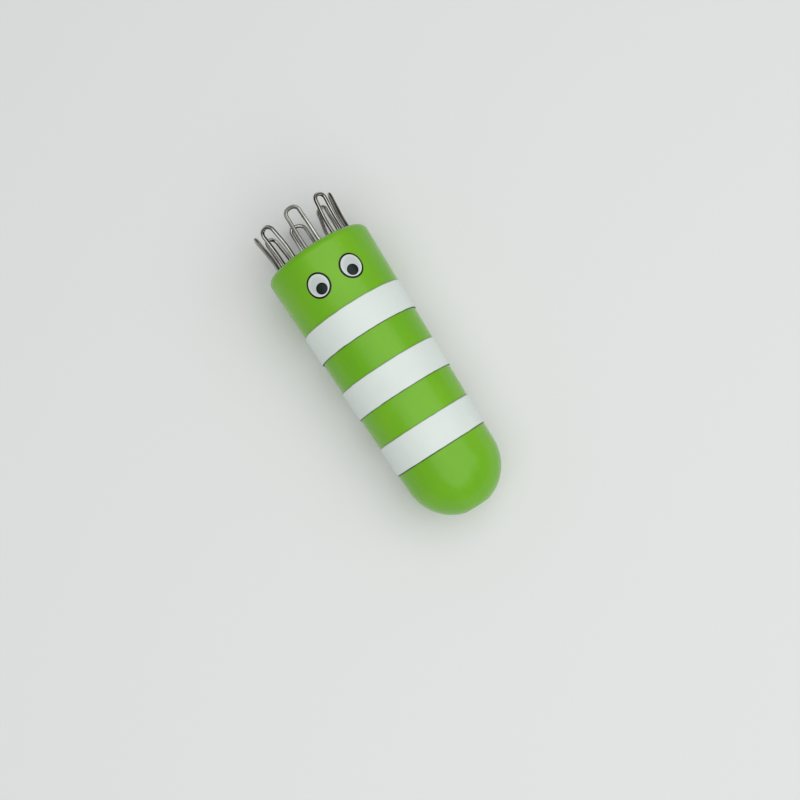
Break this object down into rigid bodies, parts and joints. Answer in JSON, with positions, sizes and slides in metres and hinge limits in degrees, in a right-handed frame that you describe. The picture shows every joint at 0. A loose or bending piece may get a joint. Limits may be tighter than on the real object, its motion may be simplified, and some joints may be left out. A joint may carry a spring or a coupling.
{
  "type": "i-cord maker",
  "caption": "Hand-held spool knitter: a tapered tube with a domed tail and a ring of wire hooks round its open head, for knitting a round cord that leaves by the tail.",
  "frame": {"origin": "centre of the bounding box's underside, with the tool lying on its side and its face up", "axes": "+X along the body towards the hooks, +Z out of the side that carries the eyes, +Y completes a right-handed frame"},
  "size_m": [0.102, 0.0334, 0.0334],
  "materials": {
    "green_plastic": "glossy moulded plastic, leaf green",
    "stripe_white": "satin white film",
    "hook_wire": "bright drawn steel wire",
    "eye_black": "glossy black ink",
    "eye_white": "glossy white ink"
  },
  "bodies": {
    "body": {"body_tube": "green_plastic", "hook_ring": "green_plastic", "stripe_1": "stripe_white", "stripe_2": "stripe_white", "stripe_3": "stripe_white", "hook_1": "hook_wire", "hook_2": "hook_wire", "hook_3": "hook_wire", "hook_4": "hook_wire", "hook_5": "hook_wire", "hook_6": "hook_wire", "hook_7": "hook_wire", "hook_8": "hook_wire", "eye_outline_left": "eye_black", "eye_white_left": "eye_white", "pupil_left": "eye_black", "eye_outline_right": "eye_black", "eye_white_right": "eye_white", "pupil_right": "eye_black"},
    "cap": {"tail_cap": "green_plastic"}
  },
  "joints": [
    {"name": "cap_pull", "type": "slide", "parent": "body", "child": "cap", "axis": [-1, 0, 0], "range_m": [0, 0.0075]}
  ]
}
